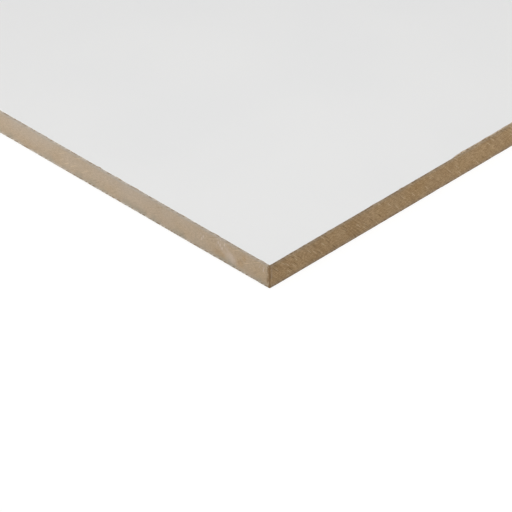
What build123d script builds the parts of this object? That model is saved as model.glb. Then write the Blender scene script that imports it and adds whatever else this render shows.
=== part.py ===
"""White melamine-faced MDF board: a full sheet of fibreboard, sawn square,
with a melamine film fused to its face and to its back.

The sheet lies flat with its length along X and its width along Y. The origin is
the centre of the underside, and +Z points up out of the white face. Millimetres.
"""

import os

from build123d import *

# Driving dimensions
SHEET_LENGTH = 2440.0
SHEET_WIDTH = 1220.0
SHEET_THICKNESS = 18.0  # over both films, as the board is sold
FILM_THICKNESS = 0.2  # one resin-soaked paper after pressing

# The lay-up, from the floor up
CORE_THICKNESS = SHEET_THICKNESS - 2 * FILM_THICKNESS
CORE_BOTTOM = FILM_THICKNESS
FACE_BOTTOM = CORE_BOTTOM + CORE_THICKNESS


def sheet_layer(bottom, thickness):
    """One layer of the board: the sawn outline of the sheet, extruded up from its underside."""
    sawn_outline = Rectangle(SHEET_LENGTH, SHEET_WIDTH)
    return Pos(Z=bottom) * extrude(sawn_outline, amount=thickness)


def write_node(name, solid):
    """Writes one piece of the board as parts/NAME.step and prints its size."""
    solid.label = name
    export_step(solid, f"parts/{name}.step")
    size = solid.bounding_box().size
    print(f"{name}: {size.X:g} x {size.Y:g} x {size.Z:g} mm")


os.makedirs("parts", exist_ok=True)
write_node("melamine_back", sheet_layer(0, FILM_THICKNESS))
write_node("mdf_core", sheet_layer(CORE_BOTTOM, CORE_THICKNESS))
write_node("melamine_face", sheet_layer(FACE_BOTTOM, FILM_THICKNESS))
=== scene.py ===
# %% [markdown]
# # A white melamine-faced MDF board
#
# The real board is a sheet of fibreboard with a white melamine film pressed on its face and on its back.
# A panel saw cuts it to size and leaves the four edges bare and brown. The CAD model gives the sheet, its
# size and its place. This lesson gives it what a saw and a press leave behind: saw marks, chipped borders,
# fibres, dust and the satin of the film.
#
# The frame is loaded first.

# %% Load the frame
import math

import bpy
import numpy as np
from mathutils import Matrix, Vector


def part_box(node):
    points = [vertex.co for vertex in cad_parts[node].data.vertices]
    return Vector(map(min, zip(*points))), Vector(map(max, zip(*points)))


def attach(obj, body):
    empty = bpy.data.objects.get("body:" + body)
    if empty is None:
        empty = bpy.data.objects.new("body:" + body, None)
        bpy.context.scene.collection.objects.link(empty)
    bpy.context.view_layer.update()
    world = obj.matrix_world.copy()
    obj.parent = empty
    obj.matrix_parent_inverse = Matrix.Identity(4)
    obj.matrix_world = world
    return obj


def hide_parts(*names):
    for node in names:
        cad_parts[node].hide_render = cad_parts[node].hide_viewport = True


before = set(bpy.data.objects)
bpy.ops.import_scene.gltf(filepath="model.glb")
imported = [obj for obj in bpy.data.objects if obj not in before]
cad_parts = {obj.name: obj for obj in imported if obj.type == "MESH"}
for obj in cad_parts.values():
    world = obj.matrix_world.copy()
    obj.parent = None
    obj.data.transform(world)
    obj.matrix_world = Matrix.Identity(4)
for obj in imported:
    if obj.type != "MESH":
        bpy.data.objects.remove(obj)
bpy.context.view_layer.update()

print("nodes:", sorted(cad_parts))

# %% [markdown]
# Every size comes from the frame. The core's box gives the sheet's length and width, and each layer's box
# gives its own two heights. The near corner, at the right of the front edge, is the one that the camera
# looks at.

# %% Sizes of the sheet
MM = 0.001

core_low, core_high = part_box("mdf_core")
face_low, face_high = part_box("melamine_face")
back_low, back_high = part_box("melamine_back")
sheet_length = core_high.x - core_low.x
sheet_width = core_high.y - core_low.y
outline_length = 2 * (sheet_length + sheet_width)
core_middle = (core_low.z + core_high.z) / 2
core_half = (core_high.z - core_low.z) / 2
near_corner = Vector((core_high.x, core_low.y, face_high.z))
print(f"sheet {sheet_length:.3f} x {sheet_width:.3f} m, core {2 * core_half / MM:.1f} mm thick")

# %% [markdown]
# The picture is a product shot: a long lens, far away, looking down on one corner of the sheet. Lines stay
# nearly parallel in such a picture, so the camera is easiest to give by two angles, a distance and the
# pixel at which the near corner shows. The script turns these into a place. A camera's own axes are right,
# up and back. From the corner the camera steps back by the distance, and then across and up or down by as
# much as the pixel is off the picture's middle.

# %% Camera on the near corner
IMAGE_SIDE = 512  # pixels
SENSOR_WIDTH = 36.0  # mm
LENS_LENGTH = 362.5  # mm
CAMERA_AZIMUTH = math.radians(44.80)
CAMERA_ELEVATION = math.radians(35.39)
CAMERA_DISTANCE = 3.225  # metres, from the near corner
CORNER_PIXEL = (269.72, 265.33)

level = math.cos(CAMERA_ELEVATION)
back = Vector((
    math.sin(CAMERA_AZIMUTH) * level,
    -math.cos(CAMERA_AZIMUTH) * level,
    math.sin(CAMERA_ELEVATION),
))
right = Vector((math.cos(CAMERA_AZIMUTH), math.sin(CAMERA_AZIMUTH), 0))
up = back.cross(right)
pixel_size = CAMERA_DISTANCE * SENSOR_WIDTH / LENS_LENGTH / IMAGE_SIDE
sideways = (CORNER_PIXEL[0] - IMAGE_SIDE / 2) * pixel_size
upwards = (IMAGE_SIDE / 2 - CORNER_PIXEL[1]) * pixel_size

camera_data = bpy.data.cameras.new("corner_camera")
camera_data.lens = LENS_LENGTH
camera_data.sensor_width = SENSOR_WIDTH
camera = bpy.data.objects.new("corner_camera", camera_data)
bpy.context.collection.objects.link(camera)
place = near_corner + back * CAMERA_DISTANCE - right * sideways - up * upwards
camera.matrix_world = Matrix.Translation(place) @ Matrix((right, up, back)).transposed().to_4x4()
bpy.context.scene.camera = camera
print(f"one pixel covers {pixel_size / MM:.2f} mm at the near corner")

# %% [markdown]
# All three pieces share one idea: a path round the sheet's outline, cut into columns. The path starts at
# the left front corner and runs along the front edge, the right end, the back edge and the left end. A
# column is known by its place along that path. Each ring of points further in has a quarter as many
# columns, so the mesh is fine at the sawn border and coarse in the middle, where the sheet is flat.

# %% The path round the outline
SIDE_CORNERS = np.array([(-1, -1), (1, -1), (1, 1), (-1, 1)])
SIDE_OUTWARDS = np.array([(0, -1), (1, 0), (0, 1), (-1, 0)])
RING_STEP = 4  # columns of one ring for each column of the next ring in


def side_columns(long_columns):
    """Columns on each of the four sides: the ends have as many fewer as they are shorter."""
    end_columns = round(long_columns * sheet_width / sheet_length)
    return np.array([long_columns, end_columns, long_columns, end_columns])


def corner_columns(columns):
    """The four columns that stand on a corner: each side starts with one."""
    return np.cumsum(columns) - columns


def outline_points(columns, inset):
    """Points round the sheet: on each side the corner plus a share of the way to the next corner.

    The inset draws the rectangle in by the same distance on all sides.
    """
    half = np.array([sheet_length / 2 - inset, sheet_width / 2 - inset])
    starts = SIDE_CORNERS * half
    ways = np.roll(starts, -1, axis=0) - starts
    side = np.repeat(np.arange(4), columns)
    share = np.concatenate([np.arange(count) / count for count in columns])
    return starts[side] + ways[side] * share[:, None]


def outline_places(columns):
    """The distance along the path of each column and of the path's end, and each column's side."""
    lengths = np.array([sheet_length, sheet_width, sheet_length, sheet_width])
    side = np.repeat(np.arange(4), columns)
    return np.append(0.0, np.cumsum(lengths[side] / columns[side])), side


def corner_distance(along):
    """Distance along the path to the nearest of the sheet's four corners."""
    halfway = outline_length / 2
    corners = np.array([0, sheet_length, halfway, halfway + sheet_length, outline_length])
    return np.abs(along[..., None] - corners).min(axis=-1)


print("path round the sheet:", round(outline_length, 3), "m")

# %% [markdown]
# A flat layer is then a set of such rings, one inside the other, with a plain grid in the middle. Between
# two rings, four steps outside meet one step inside, which five triangles fill. The grid in the middle
# takes its border points from the last ring, so the layer is one sheet with no gaps and no loose points.


# %% A flat layer of rings
def stitch_rings(outer, inner):
    """Triangles between a ring and the next one in: five for every four steps of the outer ring."""
    group = outer.reshape(-1, RING_STEP)
    first, second, third, fourth = group.T
    fifth = np.roll(first, -1)
    ahead = np.roll(inner, -1)
    fans = [
        (first, second, inner),
        (second, third, inner),
        (third, ahead, inner),
        (third, fourth, ahead),
        (fourth, fifth, ahead),
    ]
    return np.concatenate([np.stack(fan, axis=1) for fan in fans])


def middle_grid(ring, columns, fresh):
    """Quads of the middle: a grid whose border is the last ring and whose inner points are fresh ones."""
    across, deep = columns[0], columns[1]
    index = np.empty((across + 1, deep + 1), int)
    index[1:-1, 1:-1] = fresh + np.arange((across - 1) * (deep - 1)).reshape(across - 1, deep - 1)
    front, end, rear, other = np.split(ring, np.cumsum(columns)[:-1])
    index[:-1, 0] = front
    index[-1, :-1] = end
    index[:0:-1, -1] = rear
    index[0, :0:-1] = other
    cells = [index[:-1, :-1], index[1:, :-1], index[1:, 1:], index[:-1, 1:]]
    return np.stack([cell.ravel() for cell in cells], axis=1)


def layer_of_rings(border, columns, insets, first_index):
    """A flat layer inside a border ring: its added points in x and y, its triangles and its quads.

    Each inset gives one more ring, with a quarter of the columns of the ring before it.
    """
    ring = border
    added = []
    triangles = []
    fresh = first_index
    for inset in insets:
        columns = columns // RING_STEP
        points = outline_points(columns, inset)
        inner = fresh + np.arange(len(points))
        triangles.append(stitch_rings(ring, inner))
        added.append(points)
        fresh += len(points)
        ring = inner
    half = np.array([sheet_length / 2 - insets[-1], sheet_width / 2 - insets[-1]])
    x = np.linspace(-half[0], half[0], columns[0] + 1)[1:-1]
    y = np.linspace(-half[1], half[1], columns[1] + 1)[1:-1]
    added.append(np.stack(np.meshgrid(x, y, indexing="ij"), axis=-1).reshape(-1, 2))
    return np.concatenate(added), np.concatenate(triangles), middle_grid(ring, columns, fresh)


def at_height(points, height):
    """Points in x and y, lifted to one height."""
    return np.column_stack([points, np.full(len(points), height)])


# %% [markdown]
# numpy arrays go into a Blender mesh fastest through foreach_set. A mesh wants its points, then one long
# list of face corners, then where each face starts in that list. Triangles and quads can be mixed that
# way. Maps and values for the materials go in the same way, one pair or one number at a time.

# %% Arrays into a mesh
SHARP_ANGLE = math.radians(30)


def mesh_piece(name, points, face_sets):
    """A mesh object from an array of points and a list of face arrays, triangles or quads."""
    sizes = np.concatenate([np.full(len(faces), faces.shape[1]) for faces in face_sets])
    corners = np.concatenate([faces.ravel() for faces in face_sets])
    mesh = bpy.data.meshes.new(name)
    mesh.vertices.add(len(points))
    mesh.vertices.foreach_set("co", points.astype(np.float32).ravel())
    mesh.loops.add(len(corners))
    mesh.loops.foreach_set("vertex_index", corners.astype(np.int32))
    mesh.polygons.add(len(sizes))
    mesh.polygons.foreach_set("loop_start", (np.cumsum(sizes) - sizes).astype(np.int32))
    mesh.update(calc_edges=True)
    mesh.shade_smooth()
    mesh.set_sharp_from_angle(angle=SHARP_ANGLE)
    piece = bpy.data.objects.new(name, mesh)
    bpy.context.collection.objects.link(piece)
    print(f"{name}: {len(points)} points, {int((sizes - 2).sum())} triangles")
    return piece


def store_map(piece, name, corner_places):
    """A UV map from one pair of numbers for each face corner, in the order of the faces."""
    layer = piece.data.uv_layers.new(name=name)
    layer.uv.foreach_set("vector", corner_places.astype(np.float32).ravel())


def store_values(piece, name, values):
    """A number for each point, which a material can read by name."""
    attribute = piece.data.attributes.new(name, "FLOAT", "POINT")
    attribute.data.foreach_set("value", values.astype(np.float32).ravel())


# %% [markdown]
# A circular saw leaves one mark for each turn of its worst tooth. A tooth moves on a circle, so each mark
# is an arc of the blade, and it leans because the board passes well above the arbor. The long edges were
# trimmed on another saw than the ends, closer to the top of its blade, so their arcs are flatter. On all
# of them the marks come about 4.5 mm apart. Their depth and their distance change a little from mark to
# mark, so the wave that draws them has a phase and a depth that wander.

# %% The marks of the saw blade
BLADE_RADIUS = 150 * MM
ARBOR_BELOW = np.array([128, 100, 128, 100]) * MM  # below the board's middle: front, right, back and left
LEAN_SIGNS = np.array([1.0, -1.0, 1.0, -1.0])  # which way each side was fed past the blade
MARK_PITCH = 4.55 * MM
PHASE_DRIFT, PHASE_STEP = 0.45, 23 * MM  # in pitches, and how far apart its random knots are
MARK_DRIFT, MARK_STEP = 0.4, 7 * MM  # of the depth, from mark to mark
STRETCH_DRIFT, STRETCH_STEP = 0.3, 30 * MM  # of the depth, from stretch to stretch


def blade_lean(side, height):
    """How far along the cut of a side a tooth's arc lies at a height, with none at the board's middle.

    A circle about the arbor: the run along the cut is the root of radius squared less height squared.
    """
    middle = ARBOR_BELOW[side]
    above_arbor = middle + height - core_middle
    run = np.sqrt(BLADE_RADIUS**2 - middle**2) - np.sqrt(BLADE_RADIUS**2 - above_arbor**2)
    return LEAN_SIGNS[side] * run


def wander(along, step, seed):
    """A random curve from -1 to 1: random knots a step apart, joined by smooth S-shaped pieces."""
    knots = np.random.default_rng(seed).uniform(-1, 1, int(outline_length / step) + 2)
    knot = np.floor(along / step).astype(int)
    share = along / step - knot
    share = share * share * (3 - 2 * share)
    return knots[knot % len(knots)] * (1 - share) + knots[(knot + 1) % len(knots)] * share


def saw_wave(cut_place):
    """Saw marks from -1 to 1: a cosine at the marks' pitch, with a wandering phase and depth."""
    phase = cut_place / MARK_PITCH + PHASE_DRIFT * wander(cut_place, PHASE_STEP, seed=11)
    each_mark = 1 - MARK_DRIFT + MARK_DRIFT * wander(cut_place, MARK_STEP, seed=12)
    each_stretch = 1 - STRETCH_DRIFT + STRETCH_DRIFT * wander(cut_place, STRETCH_STEP, seed=13)
    return each_mark * each_stretch * np.cos(2 * np.pi * phase)


mark_leans = np.abs(blade_lean(np.arange(4), core_high.z) - blade_lean(np.arange(4), core_low.z))
print("over the core, marks lean by", (mark_leans / MM).round(1), "mm")

# %% [markdown]
# The core's edges are a grid: columns along the path, rows up the thickness. If the columns stood upright,
# slanted marks would come out as a staircase. So the columns are slanted with the blade's arc, and each
# mark runs along its own columns. Near the corners the slant fades out, so that two sides meet in one
# upright arris. The grid moves in and out by the saw wave: deep on the two ends, and faint on the two long
# edges, which the mill trimmed and which have been rubbed smooth since.

# %% Where the columns of the sawn edges run
CORE_COLUMNS = 3072  # on a long edge
CORE_ROWS = 8
LEAN_FADE = 40 * MM  # from a corner, over which the slant grows
MARK_FADE = 2 * MM  # from a corner, over which the marks grow

columns = side_columns(CORE_COLUMNS)
along, side = outline_places(columns)
path_side = np.append(side, side[-1])
heights = np.linspace(core_low.z, core_high.z, CORE_ROWS + 1)
lean = blade_lean(path_side[:, None], heights)
edge_along = along[:, None] + lean * np.clip(corner_distance(along) / LEAN_FADE, 0, 1)[:, None]
cut_place = edge_along - lean
from_corner = corner_distance(edge_along[:-1])
wave = saw_wave(cut_place[:-1]) * np.clip(from_corner / MARK_FADE, 0, 1)
print(f"sawn edges: {len(side)} columns of {CORE_ROWS} rows, {along[1] / MM:.2f} mm apart")

# %% [markdown]
# Where the blade left the board it tore fibres out of the long edges, so their last two millimetres before
# a corner fall back in ragged dents. The corner's own column falls back with them.

# %% The relief of the sawn edges
MARK_DEPTHS = np.array([0.012, 0.036, 0.012, 0.036]) * MM  # front, right, back and left
TEAR_WIDTH = 2.2 * MM
TEAR_DEPTH = 0.3 * MM
TEAR_SHARES = (0.3, 1.0)  # the least and the most of that depth

outwards = SIDE_OUTWARDS[side]
onwards = np.stack([-outwards[:, 1], outwards[:, 0]], axis=1)
flat = outline_points(columns, 0)
shift = edge_along[:-1] - along[:-1, None]
relief = wave * MARK_DEPTHS[side][:, None]
edge_xy = flat[:, None] + onwards[:, None] * shift[..., None] + outwards[:, None] * relief[..., None]

torn_columns = outwards[:, 1] != 0
torn_columns[corner_columns(columns)] = True
tear = np.random.default_rng(14).uniform(*TEAR_SHARES, from_corner.shape) * TEAR_DEPTH
tear *= np.clip(1 - from_corner / TEAR_WIDTH, 0, 1) * torn_columns[:, None]
edge_xy[..., 1] -= np.sign(flat[:, 1])[:, None] * tear
edge_z = np.broadcast_to(heights, from_corner.shape)
edge_points = np.concatenate([edge_xy, edge_z[..., None]], axis=2).reshape(-1, 3)
print(f"marks up to {relief.max() / MM:.3f} mm high, tears up to {tear.max() / MM:.2f} mm deep")

# %% [markdown]
# The grid's quads close on themselves at the end of the path. The underside and the top are two layers of
# rings, which take the grid's lowest and highest rows as their borders. The underside's faces are turned
# round so that they look down.

# %% The core as one closed mesh
CORE_INSETS = [14 * MM, 30 * MM, 70 * MM, 160 * MM]

point_index = np.arange(len(edge_points)).reshape(len(side), CORE_ROWS + 1)
next_index = np.roll(point_index, -1, axis=0)
corners_round = [point_index[:, :-1], next_index[:, :-1], next_index[:, 1:], point_index[:, 1:]]
edge_quads = np.stack(corners_round, axis=-1).reshape(-1, 4)

top_xy, top_triangles, top_quads = layer_of_rings(
    point_index[:, -1], columns, CORE_INSETS, len(edge_points)
)
low_xy, low_triangles, low_quads = layer_of_rings(
    point_index[:, 0], columns, CORE_INSETS, len(edge_points) + len(top_xy)
)
core_points = np.concatenate([edge_points, at_height(top_xy, core_high.z), at_height(low_xy, core_low.z)])
core_faces = [edge_quads, top_triangles, top_quads, low_triangles[:, ::-1], low_quads[:, ::-1]]
core = mesh_piece("sawn_fibreboard_core", core_points, core_faces)

# %% [markdown]
# The materials need to know three things about a spot on the edge. The map saw_path gives its place along
# the cut and its height in metres, measured along the blade's arcs, so a saw scratch is a line of one
# place. The value groove says where the marks are deep, and corner_distance where the upright arrises are.

# %% What the core tells its materials
edge_columns = np.repeat(np.arange(len(side)), CORE_ROWS)
edge_rows = np.tile(np.arange(CORE_ROWS), len(side))
quad_columns = edge_columns[:, None] + np.array([0, 1, 1, 0])
quad_rows = edge_rows[:, None] + np.array([0, 0, 1, 1])
quad_lean = blade_lean(side[edge_columns][:, None], heights[quad_rows])
quad_place = edge_along[quad_columns, quad_rows] - quad_lean
layer_corners = np.concatenate([faces.ravel() for faces in core_faces[1:]])
store_map(core, "saw_path", np.concatenate([
    np.stack([quad_place, heights[quad_rows]], axis=-1).reshape(-1, 2),
    core_points[layer_corners, :2],
]))

layer_points = len(core_points) - len(edge_points)
store_values(core, "groove", np.append(wave, np.zeros(layer_points)))
store_values(core, "corner_distance", np.append(from_corner, np.full(layer_points, sheet_width)))
print("groove runs from", wave.min().round(2), "to", wave.max().round(2))

# %% [markdown]
# When the board leaves Blender, its materials are painted onto pictures, and a second map says where each
# face lies on such a picture. The edges are over seven metres long and less than two centimetres high, so
# one long strip would waste nearly all of it. They are cut into lengths and stacked like lines of text.
# The two layers, which the films cover, get what is left at the top.

# %% The core's place on a picture
PICTURE_ROWS = 18
ROW_PITCH = 0.05  # of the picture's height
ROW_FILL = 0.9  # of the pitch
PICTURE_MARGIN = 0.01
LAYER_SHELF = 0.92  # where the two layers start, as a share of the picture's height

row_columns = len(side) // PICTURE_ROWS
picture_row = edge_columns // row_columns
across = (quad_columns - (picture_row * row_columns)[:, None]) / row_columns
upright = (picture_row[:, None] + ROW_FILL * quad_rows / CORE_ROWS) * ROW_PITCH
edge_spots = np.stack([PICTURE_MARGIN + across * (1 - 2 * PICTURE_MARGIN), upright], axis=-1)

layer_half = len(top_triangles) * 3 + len(top_quads) * 4
layer_spots = core_points[layer_corners, :2] / (sheet_length, sheet_width) + 0.5
layer_spots *= 0.5 - PICTURE_MARGIN, 1 - LAYER_SHELF - PICTURE_MARGIN
layer_spots += 0.0, LAYER_SHELF
layer_spots[layer_half:, 0] += 0.5
store_map(core, "OFBake", np.concatenate([edge_spots.reshape(-1, 2), layer_spots]))
print(f"{PICTURE_ROWS} lines of {row_columns * along[1]:.3f} m on the core's picture")

# %% [markdown]
# Melamine is as brittle as glass, and the saw's teeth break small flakes out of its border. Seen from
# above, a flake is a shallow bite: half an ellipse, a few millimetres long and a few tenths deep. Most are
# random. One long bite is placed on the right end, where the film stands back for a hand's width.

# %% Chips along the border of a film
CHIP_SPACING = 17 * MM
CHIP_HALVES = (0.8, 3.2)  # half the length of the shortest and the longest chip, in mm
CHIP_ROOTS = (0.1, 0.45)  # squared, so that shallow chips are the commonest
CHIP_DEPTH = 1.8  # mm, for a root of one
BORDER_ROUGHNESS, BORDER_STEP = 0.07 * MM, 1.7 * MM
BITE_FROM_CORNER = 168 * MM  # start of the long bite, from the near corner along the right end
BITE_LENGTH = 96 * MM
BITE_DEPTH = 0.7 * MM
BITE_RUN_IN, BITE_RUN_OUT = 3 * MM, BITE_LENGTH / 3
BITE_DRIFT, BITE_STEP = 0.15, 6 * MM  # of the depth, and how far apart its random knots are


def flakes(along, seed):
    """Depth of the random chips: the deepest of many half ellipses, strewn evenly along the path."""
    draw = np.random.default_rng(seed)
    count = int(outline_length / CHIP_SPACING)
    centre = draw.uniform(0, outline_length, count)
    half = draw.uniform(*CHIP_HALVES, count) * MM
    depth = draw.uniform(*CHIP_ROOTS, count) ** 2 * CHIP_DEPTH * MM
    bite = depth * np.sqrt(np.clip(1 - ((along[:, None] - centre) / half) ** 2, 0, None))
    return bite.max(axis=1)


def long_bite(along):
    """The long bite: a steep rise, then a depth that wanders, then a slow return to the border."""
    into = along - sheet_length - BITE_FROM_CORNER
    rise = np.clip(into / BITE_RUN_IN, 0, 1)
    fall = np.clip((BITE_LENGTH - into) / BITE_RUN_OUT, 0, 1)
    return BITE_DEPTH * rise * fall * (1 - BITE_DRIFT + BITE_DRIFT * wander(along, BITE_STEP, seed=21))


def film_setback(along, seed):
    """How far the film's border stands back from the sheet's outline: rough all along, with chips."""
    rough = BORDER_ROUGHNESS * (0.5 + 0.5 * wander(along, BORDER_STEP, seed))
    return rough + flakes(along, seed + 1)


print("random chips along each film:", int(outline_length / CHIP_SPACING))

# %% [markdown]
# A film is a thin closed sheet: a layer of rings on top, the same below, and a wall between their borders.
# Near the sheet's corners the bites fade into one small nick, which keeps the two sides' borders from
# crossing.

# %% The border of a film
CORNER_NICK = 0.25 * MM
NICK_FADE = 2.5 * MM


def film_border(columns, setback):
    """The border ring: the outline, moved inwards by the setback, and both ways at a corner."""
    along, side = outline_places(columns)
    near = np.clip(corner_distance(along[:-1]) / NICK_FADE, 0, 1)
    depth = CORNER_NICK * (1 - near) + setback * near
    points = outline_points(columns, 0) - SIDE_OUTWARDS[side] * depth[:, None]
    half = np.array([sheet_length, sheet_width]) / 2
    points[corner_columns(columns)] = SIDE_CORNERS * (half - CORNER_NICK)
    return points


# %% [markdown]
# The two films differ in their heights and in their chips, and only the one on the face has the long bite.
# A broken flake is bevelled, so a film's outer border stands back a little more than the one on the core.
# On the picture for the export, a film's upper layer lies at the bottom, its lower layer above it, and its
# wall in a thin line at the top.

# %% The two films
FILM_COLUMNS = 4096  # on a long edge
FILM_INSETS = [3 * MM, 12 * MM, 45 * MM, 150 * MM]
FLAKE_BEVEL = 0.35  # how much further the outer border stands back
LAYER_FILL = (1 - 2 * PICTURE_MARGIN, 0.46)  # a layer's width and height on the picture
LOWER_SHELF = 0.50  # where the lower layer starts, as a share of the picture's height
WALL_SHELF = 0.98


def film_piece(name, low, high, setback_low, setback_high):
    """A closed film between two heights, each with its own setback. The wall's faces come first."""
    columns = side_columns(FILM_COLUMNS)
    ring = np.arange(columns.sum())
    inner, triangles, quads = layer_of_rings(ring, columns, FILM_INSETS, len(ring))
    top = np.concatenate([film_border(columns, setback_high), inner])
    bottom = np.concatenate([film_border(columns, setback_low), inner])
    points = np.concatenate([at_height(top, high), at_height(bottom, low)])
    below = len(top)
    ahead = np.roll(ring, -1)
    wall = np.stack([ring + below, ahead + below, ahead, ring], axis=1)
    layer = [triangles, quads]
    turned = [triangles[:, ::-1] + below, quads[:, ::-1] + below]
    piece = mesh_piece(name, points, [wall, *layer, *turned])

    spots = points[:, :2] / (sheet_length, sheet_width) + 0.5
    upper = np.concatenate([spots[faces.ravel()] for faces in layer])
    lower = np.concatenate([spots[faces.ravel()] for faces in turned])
    share = np.stack([ring, ring + 1, ring + 1, ring], axis=1) / len(ring)
    line = np.broadcast_to([0.0, 0.0, 1.0, 1.0], share.shape)
    store_map(piece, "OFBake", np.concatenate([
        np.stack([share, WALL_SHELF + PICTURE_MARGIN * line], axis=-1).reshape(-1, 2),
        PICTURE_MARGIN + upper * LAYER_FILL,
        (PICTURE_MARGIN, LOWER_SHELF) + lower * LAYER_FILL,
    ]))
    return piece


film_along = outline_places(side_columns(FILM_COLUMNS))[0][:-1]
face_chips = film_setback(film_along, seed=31) + long_bite(film_along)
back_chips = film_setback(film_along, seed=41)
face_film = film_piece(
    "melamine_face_film", face_low.z, face_high.z, face_chips, face_chips * (1 + FLAKE_BEVEL)
)
back_film = film_piece(
    "melamine_back_film", back_low.z, back_high.z, back_chips * (1 + FLAKE_BEVEL), back_chips
)
deepest_chips = [float((chips.max() / MM).round(2)) for chips in (face_chips, back_chips)]
print("deepest chips on the core, face and back:", deepest_chips, "mm")

# %% [markdown]
# A material is a small network of nodes. A class keeps such a network readable: it places a node and fills
# its sockets with numbers or links, and it has a short word for each step that comes up often, such as a
# product, an eased range, a mix of two colours, or noise. Noise keeps close to 0.5, so the ranges that are
# later cut out of it are narrow.


# %% Helpers for node networks
class Network:
    """The nodes of one material or group."""

    def __init__(self, tree):
        self.tree = tree
        tree.nodes.clear()

    def node(self, kind, sockets=None, **settings):
        """Adds a node, sets its properties, and gives its sockets either a value or a link."""
        node = self.tree.nodes.new("ShaderNode" + kind)
        for name, value in settings.items():
            setattr(node, name, value)
        for name, value in (sockets or {}).items():
            if isinstance(value, bpy.types.NodeSocket):
                self.tree.links.new(value, node.inputs[name])
            else:
                node.inputs[name].default_value = value
        return node

    def board(self):
        """The place on the board, in metres, that patterns read."""
        return self.node("TexCoord").outputs["Object"]

    def carried(self, name):
        """A value that the piece carries at its points."""
        return self.node("Attribute", attribute_name=name).outputs["Fac"]

    def reckon(self, operation, first, second=0.0):
        """One step of arithmetic on two numbers or sockets."""
        return self.node("Math", {0: first, 1: second}, operation=operation).outputs[0]

    def plus(self, total, *others):
        """The sum of numbers or sockets."""
        for other in others:
            total = self.reckon("ADD", total, other)
        return total

    def minus(self, first, second):
        """The first less the second."""
        return self.reckon("SUBTRACT", first, second)

    def times(self, total, *others):
        """The product of numbers or sockets."""
        for other in others:
            total = self.reckon("MULTIPLY", total, other)
        return total

    def span(self, value, low, high, to_low=0.0, to_high=1.0):
        """A value between low and high, eased onto a new range."""
        sockets = {"Value": value, "From Min": low, "From Max": high, "To Min": to_low, "To Max": to_high}
        return self.node("MapRange", sockets, interpolation_type="SMOOTHSTEP").outputs[0]

    def mix(self, share, first, second):
        """The second colour laid over the first by a share."""
        return self.node("Mix", {0: share, 6: first, 7: second}, data_type="RGBA").outputs[2]

    def stretched(self, places, stretch, shift=(0, 0, 0)):
        """Places times a stretch, so that a pattern on them gets that much finer, plus a shift."""
        return self.node("Mapping", {"Vector": places, "Scale": stretch, "Location": shift}).outputs[0]

    def grain(self, places, stretch, detail):
        """Noise from 0 to 1, mostly near 0.5, with so many grains per metre each way."""
        finer = self.stretched(places, stretch)
        sockets = {"Vector": finer, "Scale": 1.0, "Detail": detail, "Roughness": 0.6}
        return self.node("TexNoise", sockets).outputs[0]

    def dashes(self, places, stretch, presence, shift, radii=(0.07, 0.16)):
        """Short dashes from 0 to 1: the hearts of a share of the cells in a stretched cell pattern.

        A heart is full up to the first of its two radii and gone past the second, in cells.
        """
        sockets = {"Vector": self.stretched(places, stretch, shift), "Scale": 1.0}
        cells = self.node("TexVoronoi", sockets, voronoi_dimensions="2D")
        heart = self.span(cells.outputs["Distance"], *radii, 1.0, 0.0)
        lot = self.node("SeparateColor", {0: cells.outputs["Color"]}).outputs[0]
        return self.times(heart, self.reckon("LESS_THAN", lot, presence))


print("words of a network:", [word for word in vars(Network) if not word.startswith("_")])

# %% [markdown]
# An effect that several materials share is built once, as a node group with named sockets, and placed in
# each of them with its own values. A material proper ends in a Principled shader, which stays outside.


# %% Groups and materials
def effect_group(name, inputs, outputs):
    """A node group with named sockets, as a network that knows its entry and its ending."""
    net = Network(bpy.data.node_groups.new(name, "ShaderNodeTree"))
    for socket, kind in inputs.items():
        net.tree.interface.new_socket(socket, in_out="INPUT", socket_type="NodeSocket" + kind)
    for socket, kind in outputs.items():
        net.tree.interface.new_socket(socket, in_out="OUTPUT", socket_type="NodeSocket" + kind)
    net.entry = net.tree.nodes.new("NodeGroupInput").outputs
    net.ending = net.tree.nodes.new("NodeGroupOutput").inputs
    return net


def end_group(net, results):
    """Links a group's results to its named outputs."""
    for name, result in results.items():
        net.tree.links.new(result, net.ending[name])
    print("group", net.tree.name, "has", len(net.tree.nodes), "nodes")


def new_material(name):
    """A material and its empty network."""
    material = bpy.data.materials.new(name)
    material.use_nodes = True
    return material, Network(material.node_tree)


def end_material(net, sockets):
    """Feeds a Principled shader and connects it to the material's output."""
    shader = net.node("BsdfPrincipled", sockets)
    net.node("OutputMaterial", {"Surface": shader.outputs[0]})
    print("a material with", len(net.tree.nodes), "nodes")


# %% [markdown]
# No real surface has the same tone all over. Broad, soft clouds are the first thing that makes a flat
# sheet look real: hand marks and dust on the edges, a trace of unevenness in the press on the film. Every
# material of the board wants them, so they are a group, placed in each with its own size.

# %% Soft clouds, a group that every material of the board uses
soft_clouds = effect_group(
    "soft_clouds", {"Place": "Vector", "Clouds per metre": "Float"}, {"Cloud": "Float"}
)
cloud_noise = soft_clouds.node("TexNoise", {
    "Vector": soft_clouds.entry["Place"],
    "Scale": soft_clouds.entry["Clouds per metre"],
    "Detail": 2.0,
    "Roughness": 0.5,
}).outputs[0]
end_group(soft_clouds, {"Cloud": soft_clouds.span(cloud_noise, 0.32, 0.68)})


def clouds(net, places, per_metre):
    """Soft clouds from 0 to 1 in a material, at so many per metre."""
    sockets = {"Place": places, "Clouds per metre": per_metre}
    return net.node("Group", sockets, node_tree=soft_clouds.tree).outputs["Cloud"]
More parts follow.
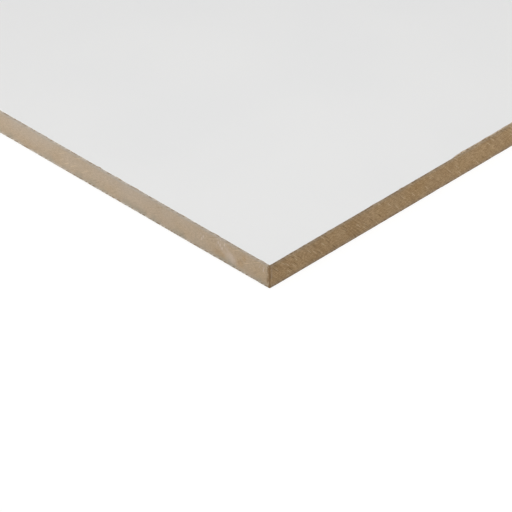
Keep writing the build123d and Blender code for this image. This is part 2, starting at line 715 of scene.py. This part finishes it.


# %% [markdown]
# A sawn fibreboard edge is a felt of wood fibres. They lie flat in the sheet, so on an edge they show as
# short level dashes, some pale and some dark. Both kinds of edge share this, so it is a group too. Its
# inputs say how strong the felt and the saw marks are, with the painted shade in their grooves, how many
# slivers there are, how much dust and scuff lies on them, how much grime and painted shade darken them
# towards the floor and in what colour, how strong the dark fringe of torn fibres and painted shade under
# the films is, and how much is torn at the arrises.
# The next four code cells build it up from below: felt, saw marks, what lies on them, and torn borders.

# %% Sawn fibreboard, a group for both kinds of edge
FIBRE_DARK = (0.34, 0.207, 0.093, 1)
FIBRE_MIDDLE = (0.505, 0.336, 0.168, 1)
FIBRE_PALE = (0.67, 0.48, 0.278, 1)
FIBRES = (620, 620, 2100)  # for each metre along, across and up

strengths = ["Felt contrast", "Mark contrast", "Slivers", "Dust", "Scuff", "Floor shade and grime", "Fringe and shade at the border", "Torn width"]
net = effect_group(
    "sawn_fibreboard",
    {**dict.fromkeys(strengths, "Float"), "Colour of floor shade and grime": "Color"},
    {"Colour": "Color", "Roughness": "Float", "Height": "Float"},
)
fibreboard = net.tree
entry = net.entry
board = net.board()
saw_place = net.node("UVMap", uv_map="saw_path").outputs[0]
groove = net.carried("groove")
arris = net.carried("corner_distance")
z_place = net.node("SeparateXYZ", {0: board}).outputs["Z"]
from_middle = net.reckon("ABSOLUTE", net.minus(z_place, core_middle))

fibres = net.grain(board, FIBRES, detail=3.0)
tone = net.plus(net.times(net.minus(fibres, 0.5), entry["Felt contrast"]), 0.5)
pale_share = net.span(tone, 0.42, 0.72)
dark_share = net.span(tone, 0.30, 0.58, 1.0, 0.0)
felt = net.mix(pale_share, FIBRE_MIDDLE, FIBRE_PALE)
felt = net.mix(dark_share, felt, FIBRE_DARK)
print("felt:", len(fibreboard.nodes), "nodes so far")

# %% [markdown]
# The scratches are noise on the map saw_path, long along the arcs and narrow across them. They come and go
# in patches, as the board ran more or less quietly past the blade. Where a tooth caught a bundle of fibres
# it left a pale sliver or a dark pit. These are the hearts of a cell pattern on the same map, drawn out
# along the arcs, and near an upright arris there are more of them.

# %% The saw's work on the fibres
SLIVER = (0.74, 0.585, 0.385, 1)
PIT = (0.22, 0.135, 0.06, 1)
SCRATCHES = (850, 95, 1)  # for each metre across the arcs and along them
SLIVER_CELLS, SLIVER_SHIFT = (420, 55, 1), (0.0, 0.3, 0.0)
PIT_CELLS, PIT_SHIFT = (320, 55, 1), (7.4, 0.8, 0.0)
PATCHES = (45, 45, 45)  # for each metre
GROOVE_PAINTED_SHADE = 0.26  # painted shade in a mark's groove, at its deepest
SCRATCH_SHADE = 0.5
SPLINTERED = [2 * MM, 14 * MM]  # from an upright arris: most slivers up to the first, fewest past the other

scratches = net.grain(saw_place, SCRATCHES, detail=2.0)
# The grooves of the saw marks are darkened where the value groove is low: painted shade in the grooves.
groove_painted_shade = net.span(groove, -1.0, 1.0, GROOVE_PAINTED_SHADE, 0.0)
scratch_shade = net.span(scratches, 0.38, 0.62, SCRATCH_SHADE, 0.0)
patches = net.span(net.grain(board, PATCHES, detail=1.0), 0.35, 0.65, 0.35, 1.65)
marks = net.plus(groove_painted_shade, net.times(scratch_shade, patches))
sawn = net.mix(net.times(marks, entry["Mark contrast"]), felt, FIBRE_DARK)

presence = net.plus(entry["Slivers"], net.span(arris, *SPLINTERED, 0.25, 0.0))
slivers = net.dashes(saw_place, SLIVER_CELLS, presence, SLIVER_SHIFT)
pits = net.dashes(saw_place, PIT_CELLS, presence, PIT_SHIFT)
print("with saw marks:", len(fibreboard.nodes), "nodes so far")

# %% [markdown]
# Then comes what lies on top. Dust lies on the edge, and its share grows towards the upper part: that
# growth is painted light, as if the upper part were lit more. Some dust is caught along both borders. A
# scuff is paler and warmer. Slivers and pits show through both. Towards the floor the edge darkens in
# patches: painted shade near the floor, partly given as grime, in each edge's own colour.

# %% Dust, scuff, grime, and painted light and shade
DUST = (0.42, 0.42, 0.40, 1)
SCUFF = (0.62, 0.52, 0.437, 1)
PAINTED_LIGHT_BY_HEIGHT = (0.84, 1.14)  # dust at the lower border and at the upper one, in shares of what is laid on: painted light, paler at the top
BORDER_DUST = 3.2 * MM  # from a film, over which dust is caught
BORDER_DUST_MOST = 0.25
SLIVER_COVER = 0.66
PIT_COVER = 0.9
FLOOR_SHADE_REACH = 8 * MM  # from the lower film, over which the edge darkens: painted shade near the floor, partly grime
PATCHES_OF_FLOOR_SHADE_AND_GRIME = (150, 150, 70)  # for each metre

# Dust grows towards the top: painted light, as if the upper part were lit more.
painted_light_by_height = net.span(z_place, core_low.z, core_high.z, *PAINTED_LIGHT_BY_HEIGHT)
caught = net.span(from_middle, core_half - BORDER_DUST, core_half, 0.0, BORDER_DUST_MOST)
dust = net.times(net.plus(entry["Dust"], caught), painted_light_by_height)
pit_share = net.times(pits, PIT_COVER, entry["Mark contrast"])
# Painted shade near the floor: the lowest millimetres darken in patches, partly given as grime.
patches_of_floor_shade_and_grime = net.span(net.grain(board, PATCHES_OF_FLOOR_SHADE_AND_GRIME, detail=2.0), 0.35, 0.65, 0.2, 1.0)
low_down = net.span(z_place, core_low.z, core_low.z + FLOOR_SHADE_REACH, 1.0, 0.0)
share_of_floor_shade_and_grime = net.times(low_down, patches_of_floor_shade_and_grime, entry["Floor shade and grime"])
layered = sawn
for share, colour in [
    (dust, DUST),
    (entry["Scuff"], SCUFF),
    (net.times(slivers, SLIVER_COVER), SLIVER),
    (pit_share, PIT),
    (share_of_floor_shade_and_grime, entry["Colour of floor shade and grime"]),
]:
    layered = net.mix(share, layered, colour)
print("with dust and grime:", len(fibreboard.nodes), "nodes so far")

# %% [markdown]
# At the very border hangs a ragged dark fringe, more of it below: torn fibres, and painted shade under the
# films. Crumbs of dust lie between them where there is dust. At an upright arris the fibres are torn out
# in a dark brown strip, partly their colour and partly painted shade of the torn fibres. The group ends
# with a height for the bump: fibres, scratches and slivers stand up, and pits go down.

# %% Torn borders and arrises, with painted shade
# Dark brown of torn fibres, used also as painted shade in the fringe under the films and at the arrises.
FIBRE_TEAR_AND_SHADE = (0.25, 0.16, 0.08, 1)
CRUMBS = (0.66, 0.58, 0.48, 1)
FRINGE = 1.6 * MM
FRINGE_AND_SHADE_STRENGTH = (0.75, 0.5)  # at the lower border and at the upper one
FRAYS = (520, 260, 1)  # for each metre along the cut and up it
RAGS = (420, 420, 240)  # for each metre along, across and up
FIBRE_ROUGHNESS = (0.95, 0.78)  # of dark fibres and of pale ones
SCRATCH_RISE, SLIVER_RISE, PIT_FALL = 0.5, 0.3, 0.4  # beside fibres of one

frayed = net.grain(saw_place, FRAYS, detail=1.0)
torn_ticks = net.span(frayed, 0.5, 0.6)
crumbs = net.times(net.span(frayed, 0.4, 0.5, 2.0, 0.0), entry["Dust"])
low_more = net.span(z_place, core_low.z, core_high.z, *FRINGE_AND_SHADE_STRENGTH)
# The fringe under the films is torn fibres and painted shade, darker at the lower border.
fringe = net.span(from_middle, core_half - FRINGE, core_half)
share_of_fringe_and_shade = net.times(fringe, low_more, entry["Fringe and shade at the border"])
bordered = net.mix(net.times(share_of_fringe_and_shade, torn_ticks), layered, FIBRE_TEAR_AND_SHADE)
bordered = net.mix(net.times(share_of_fringe_and_shade, crumbs), bordered, CRUMBS)

# The strip at an arris is torn fibres and painted shade of their roughness.
ragged = net.span(net.grain(board, RAGS, detail=3.0), 0.3, 0.7, 0.35, 1.9)
torn_reach = net.times(entry["Torn width"], ragged)
arris_tear_and_shade = net.span(net.reckon("DIVIDE", arris, torn_reach), 0.5, 1.3, 1.0, 0.0)
risen = net.plus(fibres, net.times(scratches, SCRATCH_RISE), net.times(slivers, SLIVER_RISE))
end_group(net, {
    "Colour": net.mix(arris_tear_and_shade, bordered, FIBRE_TEAR_AND_SHADE),
    "Roughness": net.span(fibres, 0.3, 0.7, *FIBRE_ROUGHNESS),
    "Height": net.minus(risen, net.times(pits, PIT_FALL)),
})

# %% [markdown]
# Two materials use that group. The ends are freshly sawn: strong marks, many slivers, almost no dust, a
# deep colour. Near their corners the blade shook as it came in and went out, so the marks are bolder there
# and the slivers more, and the painted shade near the floor is a little stronger there, given as grime. A
# layer that changes like that reads the value corner_distance.

# %% What lies on the two ends
DARKER_NEAR_CORNER = [20 * MM, 115 * MM]  # from a corner: darkest up to the first, least dark past the second, as painted shade near the corners
SHAKEN = [30 * MM, 200 * MM]  # from a corner: most shaken up to the first, least past the second
LINE_RISE = [0.7 * MM, 1.3 * MM]  # from an upright arris, where the pale line beside it comes up
LINE_FALL = [1.9 * MM, 2.8 * MM]  # and where it fades
LINE_STRENGTH = 0.26
END_DUST = 0.05
END_CLOUDS = 0.05
# The ends' colour of painted shade near the floor, a dark brown.
END_FLOOR_SHADE = (0.17, 0.12, 0.07, 1)


def by_corner(net, reach, near, far):
    """A value that eases from one near a corner to another far from it."""
    return net.span(net.carried("corner_distance"), *reach, near, far)


def dust_on_end(net, board):
    """A trace of dust in clouds a few centimetres wide."""
    return net.times(clouds(net, board, per_metre=30.0), END_DUST)


def rub_on_end(net, board):
    """A pale line close beside each upright arris, where fibres stand up, and faint pale clouds."""
    rise = by_corner(net, LINE_RISE, 0.0, 1.0)
    fall = by_corner(net, LINE_FALL, LINE_STRENGTH, 0.0)
    line = net.times(rise, fall, clouds(net, board, per_metre=260.0))
    return net.plus(line, net.times(clouds(net, board, per_metre=40.0), END_CLOUDS))


# %% [markdown]
# The long edges are older. On the front edge, close to the near corner, three spots have less dust. Each
# such spot is an ellipse: the mapping node moves, turns and scales the board until the ellipse is a circle
# of radius one about nought. The distance from nought then says how far out a place lies.

# %% Soft spots on the front edge
SPOT_REACH = 50 * MM  # how far in from the front edge a spot goes
SPOT_HEART = 0.35  # share of the radius up to which a spot is full
BARE_SPOTS = [  # from the corner, up, and the ellipse's two half axes
    (22.5 * MM, 11.5 * MM, 2.2 * MM, 3.5 * MM),
    (26 * MM, 6 * MM, 4.5 * MM, 4.5 * MM),
    (44 * MM, 5 * MM, 6 * MM, 4 * MM),
]


def front_spot(net, board, spot, turn=0.0):
    """A soft spot on the front edge, from 1 in its heart to 0 on its rim: the distance, eased down."""
    from_corner, up_edge, half_along, half_up = spot
    local = net.node("Mapping", {
        "Vector": board,
        "Location": (near_corner.x - from_corner, near_corner.y, up_edge),
        "Rotation": (0, turn, 0),
        "Scale": (half_along, SPOT_REACH, half_up),
    }, vector_type="TEXTURE").outputs[0]
    distance = net.node("VectorMath", {0: local}, operation="LENGTH").outputs["Value"]
    return net.span(distance, SPOT_HEART, 1.0, 1.0, 0.0)


def front_spots(net, board, spots):
    """Several soft spots, added up."""
    return net.plus(*[front_spot(net, board, spot) for spot in spots])


print(len(BARE_SPOTS), "bare spots on the front edge")

# %% [markdown]
# On a long edge the marks are nearly rubbed away, and pale dust lies on them, less of it near the corners,
# which makes the corners darker: painted shade. What was rubbed against it left paler clouds. Where the
# dust is thin, the saw marks show more.

# %% What lies on the two long edges
RUBBED_SHIFT = (0.0, 0.0, 0.433)  # metres, through the clouds
LONG_DUST = (0.29, 0.37)  # near a corner and far from it
DUST_CLOUDS = 0.08
BARE_LOSS = 0.10  # dust that a bare spot lacks
LONG_MARKS, BARE_MARKS = 0.35, 0.3  # saw marks all along, and what a bare spot adds
# The long edges' colour near the floor: grey grime and painted shade.
LONG_EDGE_GRIME_AND_SHADE = (0.26, 0.26, 0.215, 1)


def rubbed_clouds(net, board):
    """Clouds a few centimetres wide, with a pale one a hand's width from the near corner."""
    return clouds(net, net.stretched(board, (1, 1, 1), RUBBED_SHIFT), per_metre=45.0)


def long_edge_dust_and_corner_shade(net, board):
    """Even grey dust in clouds, thinner on the bare spots of the front edge, and thinner near the corners
    as painted shade.
    """
    # Thinner dust near the corners darkens them: painted shade.
    spread = by_corner(net, DARKER_NEAR_CORNER, *LONG_DUST)
    clouded = net.plus(spread, net.times(rubbed_clouds(net, board), DUST_CLOUDS))
    return net.minus(clouded, net.times(front_spots(net, board, BARE_SPOTS), BARE_LOSS))


def marks_on_long_edge(net, board):
    """Faint saw marks, stronger on the bare spots."""
    return net.plus(net.times(front_spots(net, board, BARE_SPOTS), BARE_MARKS), LONG_MARKS)


# %% [markdown]
# The front edge also has a soft pale scuff between the bare spots. It crosses the whole thickness on a
# slant and is palest low down. Where it reaches the upper half it breaks up into a comb of short upright
# flecks. A smaller comb stands beside the arris, and a third one further left.

# %% The scuff on the front edge
SCUFF_BAND = (38.5 * MM, 9 * MM, 15 * MM, 5.5 * MM)  # from the corner, up, and the two half axes
SCUFF_TURN = math.radians(40)
SCUFF_PATCH = (34 * MM, 6.5 * MM, 7 * MM, 5.5 * MM)
COMBS = [
    (43 * MM, 12 * MM, 7 * MM, 6 * MM),
    (6.5 * MM, 12.5 * MM, 3.5 * MM, 4.5 * MM),
    (60 * MM, 9.5 * MM, 4.5 * MM, 4 * MM),
]
FLECKS = (500, 170, 1)  # for each metre along the edge and up it
FLECK_SHIFT = (0.6, 0.7, 0.0)
FLECK_RADII = (0.14, 0.26)
FLECK_COVER = 0.8
SCUFF_LEAST, SCUFF_CLOUDS = 0.14, 0.14  # of the scuff all over, and what its clouds add
RUB_CLOUDS = 0.11


def scuff_on_front(net, board):
    """Pale clouds all along, the slanted scuff in patches, and the three combs of flecks."""
    rubbed = net.times(rubbed_clouds(net, board), RUB_CLOUDS)
    patchy = net.plus(net.times(clouds(net, board, per_metre=230.0), SCUFF_CLOUDS), SCUFF_LEAST)
    band = net.plus(front_spot(net, board, SCUFF_BAND, SCUFF_TURN), front_spot(net, board, SCUFF_PATCH))
    upright = net.node("Mapping", {"Vector": board, "Rotation": (-math.pi / 2, 0, 0)}).outputs[0]
    flecks = net.dashes(upright, FLECKS, 1.0, FLECK_SHIFT, FLECK_RADII)
    flecks = net.times(flecks, front_spots(net, board, COMBS), FLECK_COVER)
    return net.plus(rubbed, net.times(band, patchy), flecks)


print("a scuff and", len(COMBS), "combs of flecks")

# %% [markdown]
# An edge's material is then the group with its own numbers and its own layers. Fibres are too fine for the
# mesh, so their height goes into a bump. Bare fibre hardly shines, so the shader's specular level is low.

# %% The two sawn edges
FIBRE_DEPTH = 0.08 * MM


def edge_material(name, values, reaches, layers, bump):
    """Sawn fibreboard with its fixed values, those that change near a corner, and painted layers."""
    material, net = new_material(name)
    board = net.board()
    sockets = dict(values)
    for layer, (reach, near, far) in reaches.items():
        sockets[layer] = by_corner(net, reach, near, far)
    for layer, paint in layers.items():
        sockets[layer] = paint(net, board)
    edge = net.node("Group", sockets, node_tree=fibreboard)
    bumpy = net.node("Bump", {"Height": edge.outputs["Height"], "Strength": bump, "Distance": FIBRE_DEPTH})
    end_material(net, {
        "Base Color": edge.outputs["Colour"],
        "Roughness": edge.outputs["Roughness"],
        "Normal": bumpy.outputs[0],
        "Specular IOR Level": 0.15,
    })
    return material


# On both kinds of edge the grime and painted shade near the floor are stronger near the corners: painted
# shade near the corners.
sawn_end = edge_material(
    "sawn_mdf_end",
    {"Felt contrast": 0.83, "Colour of floor shade and grime": END_FLOOR_SHADE, "Fringe and shade at the border": 1.8, "Torn width": 0.65 * MM},
    {
        "Mark contrast": (SHAKEN, 0.82, 0.6),
        "Slivers": (SHAKEN, 0.62, 0.25),
        "Floor shade and grime": (DARKER_NEAR_CORNER, 0.22, 0.18),
    },
    {"Dust": dust_on_end, "Scuff": rub_on_end},
    bump=0.5,
)
rubbed_edge = edge_material(
    "rubbed_mdf_edge",
    {
        "Felt contrast": 0.65,
        "Slivers": 0.14,
        "Colour of floor shade and grime": LONG_EDGE_GRIME_AND_SHADE,
        "Fringe and shade at the border": 1.4,
        "Torn width": 1.4 * MM,
    },
    {"Floor shade and grime": (DARKER_NEAR_CORNER, 0.66, 0.45)},
    {"Mark contrast": marks_on_long_edge, "Dust": long_edge_dust_and_corner_shade, "Scuff": scuff_on_front},
    bump=0.3,
)

# %% [markdown]
# The film is a white paper soaked in resin and cured against a steel plate. It is even, hard and satin.
# What keeps it from looking like plain plastic is a fine pearl grain from the plate, a gloss that drifts a
# little, and clouds in the white so faint that they show only beside each other. Its sawn border is
# another thing: two tenths of a millimetre of resin and paper, brown with fibre dust.

# %% White melamine and its sawn border
MELAMINE_WHITE = (0.80, 0.80, 0.795, 1)
MELAMINE_SHADE = (0.785, 0.787, 0.785, 1)
SATIN = (0.36, 0.42)  # the glossiest and the dullest roughness of the film
PEARL = (1400, 1400, 1400)  # for each metre
PEARL_DEPTH = 0.015 * MM
BORDER_BROWN = (0.40, 0.32, 0.23, 1)
BORDER_BEIGE = (0.58, 0.52, 0.44, 1)


def melamine_material(name):
    """Satin white film: faint clouds in its colour and gloss, and a fine pearl grain as bump."""
    material, net = new_material(name)
    board = net.board()
    pearl = net.grain(board, PEARL, detail=1.0)
    bumpy = net.node("Bump", {"Height": pearl, "Strength": 0.25, "Distance": PEARL_DEPTH})
    end_material(net, {
        "Base Color": net.mix(clouds(net, board, per_metre=9.0), MELAMINE_WHITE, MELAMINE_SHADE),
        "Roughness": net.span(clouds(net, board, per_metre=23.0), 0.0, 1.0, *SATIN),
        "Normal": bumpy.outputs[0],
    })
    return material


def border_material(name):
    """The film's sawn border: brown and beige in specks of a few millimetres and finer."""
    material, net = new_material(name)
    specks = clouds(net, net.board(), per_metre=500.0)
    end_material(net, {
        "Base Color": net.mix(specks, BORDER_BROWN, BORDER_BEIGE),
        "Roughness": net.span(specks, 0.0, 1.0, 0.9, 0.7),
        "Specular IOR Level": 0.2,
    })
    return material


white_film = melamine_material("white_melamine_film")
sawn_border = border_material("sawn_film_border")

# %% [markdown]
# Each face of the core gets one of the two edge materials: the front and back edges the rubbed one, the
# rest the sawn one. A film's wall gets the brown border. Then every piece says which body it moves with
# and which CAD node it stands for, and that node is hidden. The board is one body with no joints, so all
# three ride on its root.


# %% Dress the board
def dress(piece, materials, chosen):
    """Gives a piece its materials and says which of them each face takes, from the first face on."""
    for material in materials:
        piece.data.materials.append(material)
    numbers = np.zeros(len(piece.data.polygons), np.int32)
    numbers[:len(chosen)] = chosen
    piece.data.polygons.foreach_set("material_index", numbers)


dress(core, [sawn_end, rubbed_edge], outwards[edge_columns, 1] != 0)
for film in (face_film, back_film):
    dress(film, [white_film, sawn_border], np.ones(len(film_along)))

stands_for = [
    (core, "mdf_core", "mdf"),
    (face_film, "melamine_face", "white_melamine"),
    (back_film, "melamine_back", "white_melamine"),
]
for piece, node, finish in stands_for:
    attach(piece, "root")
    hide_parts(node)
    print(piece.name, "stands for", node)

# %% [markdown]
# The studio is plain: a pale floor and a white room. The floor is a real surface that takes the board's
# shadow and throws light back on its edges. To the camera it also glows a little, so that it meets the
# white room without a seam. Light Path tells such rays from the ones that carry light.

# %% The floor and the room
FLOOR_SIDE = 200.0  # metres
FLOOR_DROP = 0.1 * MM  # just under the board, so that the two surfaces don't coincide
FLOOR_GREY = 0.50  # what the floor throws back on the board
FLOOR_SEEN = 0.30  # how much of the light that the camera sees on the floor is real light
FLOOR_GLOW = 0.745
ROOM_LIGHT = 0.40


def looked_at(net):
    """1 for rays that look at a thing, straight or by a mirror or through glass, and 0 for light."""
    rays = net.node("LightPath").outputs
    seen = net.reckon("MAXIMUM", rays["Is Camera Ray"], rays["Is Glossy Ray"])
    return net.reckon("MAXIMUM", seen, rays["Is Transmission Ray"])


floor_mesh = bpy.data.meshes.new("studio_floor")
floor_corners = at_height(SIDE_CORNERS * FLOOR_SIDE / 2, -FLOOR_DROP)
floor_mesh.from_pydata(floor_corners.tolist(), [], [(0, 1, 2, 3)])
floor = bpy.data.objects.new("studio_floor", floor_mesh)
bpy.context.collection.objects.link(floor)

floor_material, net = new_material("studio_floor")
seen = looked_at(net)
matt = net.node("BsdfDiffuse", {"Color": net.span(seen, 0.0, 1.0, FLOOR_GREY, FLOOR_SEEN)})
glow = net.node("Emission", {"Strength": net.times(seen, FLOOR_GLOW)})
both = net.node("AddShader", {0: matt.outputs[0], 1: glow.outputs[0]})
net.node("OutputMaterial", {"Surface": both.outputs[0]})
floor_mesh.materials.append(floor_material)

room = bpy.data.worlds.new("studio_room")
room.use_nodes = True
net = Network(room.node_tree)
strength = net.span(looked_at(net), 0.0, 1.0, ROOM_LIGHT, 1.0)
sky = net.node("Background", {"Color": (1, 1, 1, 1), "Strength": strength})
net.node("OutputWorld", {"Surface": sky.outputs[0]})
bpy.context.scene.world = room
print("floor", FLOOR_SIDE, "m wide, room light", ROOM_LIGHT)

# %% [markdown]
# Three kinds of lamp light the board. A soft sun from nearly overhead gives the white face its level. Low
# cards light the edges: two for each long edge and one for each end. The first one in front stands further
# left than the near corner, so the front edge grows lighter to the left. The film doesn't mirror the
# cards, because they would burn white patches into it from behind. A small soft box over the near corner
# makes the face a trace lighter there than further back.

# %% The lamps
SUN_LIGHT = 1.45  # watts per square metre
SUN_TOWARDS = Vector((0.11, -0.08, 0.99))  # from the board towards the sun
SUN_PLACE = Vector((0, 0, 3))  # for a sun, only its direction counts
SUN_SOFTNESS = math.radians(25)
CARD_HEIGHT = 0.06  # metres, as are the sizes
CARD_SIZE = (0.8, 0.1)
CARDS = [  # the side's number, metres away from it, share of the way along it, and watts
    (0, 0.9, 0.72, 6.25),
    (0, 0.9, 0.20, 4.0),
    (1, 0.6, 0.70, 2.3),
    (2, 0.9, 0.75, 5.0),
    (2, 0.9, 0.25, 5.0),
    (3, 0.6, 0.70, 2.3),
]
BOX_PLACE = Vector((1.16, -0.55, 0.42))
BOX_SIZE = (0.25, 0.25)
BOX_WATTS = 0.15


def lamp(name, kind, energy, away, place):
    """A lamp at a place, which shines the way that is given and which the camera doesn't see."""
    data = bpy.data.lights.new(name, kind)
    data.energy = energy
    thing = bpy.data.objects.new(name, data)
    bpy.context.collection.objects.link(thing)
    thing.matrix_world = Matrix.Translation(place) @ away.to_track_quat("-Z", "Y").to_matrix().to_4x4()
    thing.visible_camera = False
    return thing


def soft_card(name, watts, away, place, size):
    """A rectangular lamp of a width and a height."""
    card = lamp(name, "AREA", watts, away, place)
    card.data.shape = "RECTANGLE"
    card.data.size, card.data.size_y = size
    return card


sun = lamp("soft_sun", "SUN", SUN_LIGHT, -SUN_TOWARDS, SUN_PLACE)
sun.data.angle = SUN_SOFTNESS
soft_card("soft_box", BOX_WATTS, Vector((0, 0, -1)), BOX_PLACE, BOX_SIZE)
side_starts = SIDE_CORNERS * (sheet_length / 2, sheet_width / 2)
side_ends = np.roll(side_starts, -1, axis=0)
for number, (edge, away, share, watts) in enumerate(CARDS):
    spot = side_starts[edge] * (1 - share) + side_ends[edge] * share + SIDE_OUTWARDS[edge] * away
    inwards = Vector((*-SIDE_OUTWARDS[edge], 0))
    card = soft_card(f"edge_card_{number}", watts, inwards, Vector((*spot, CARD_HEIGHT)), CARD_SIZE)
    card.visible_glossy = False
bpy.context.scene.view_settings.view_transform = "Standard"
print("sun", SUN_LIGHT, "and", len(CARDS), "cards")

# %% [markdown]
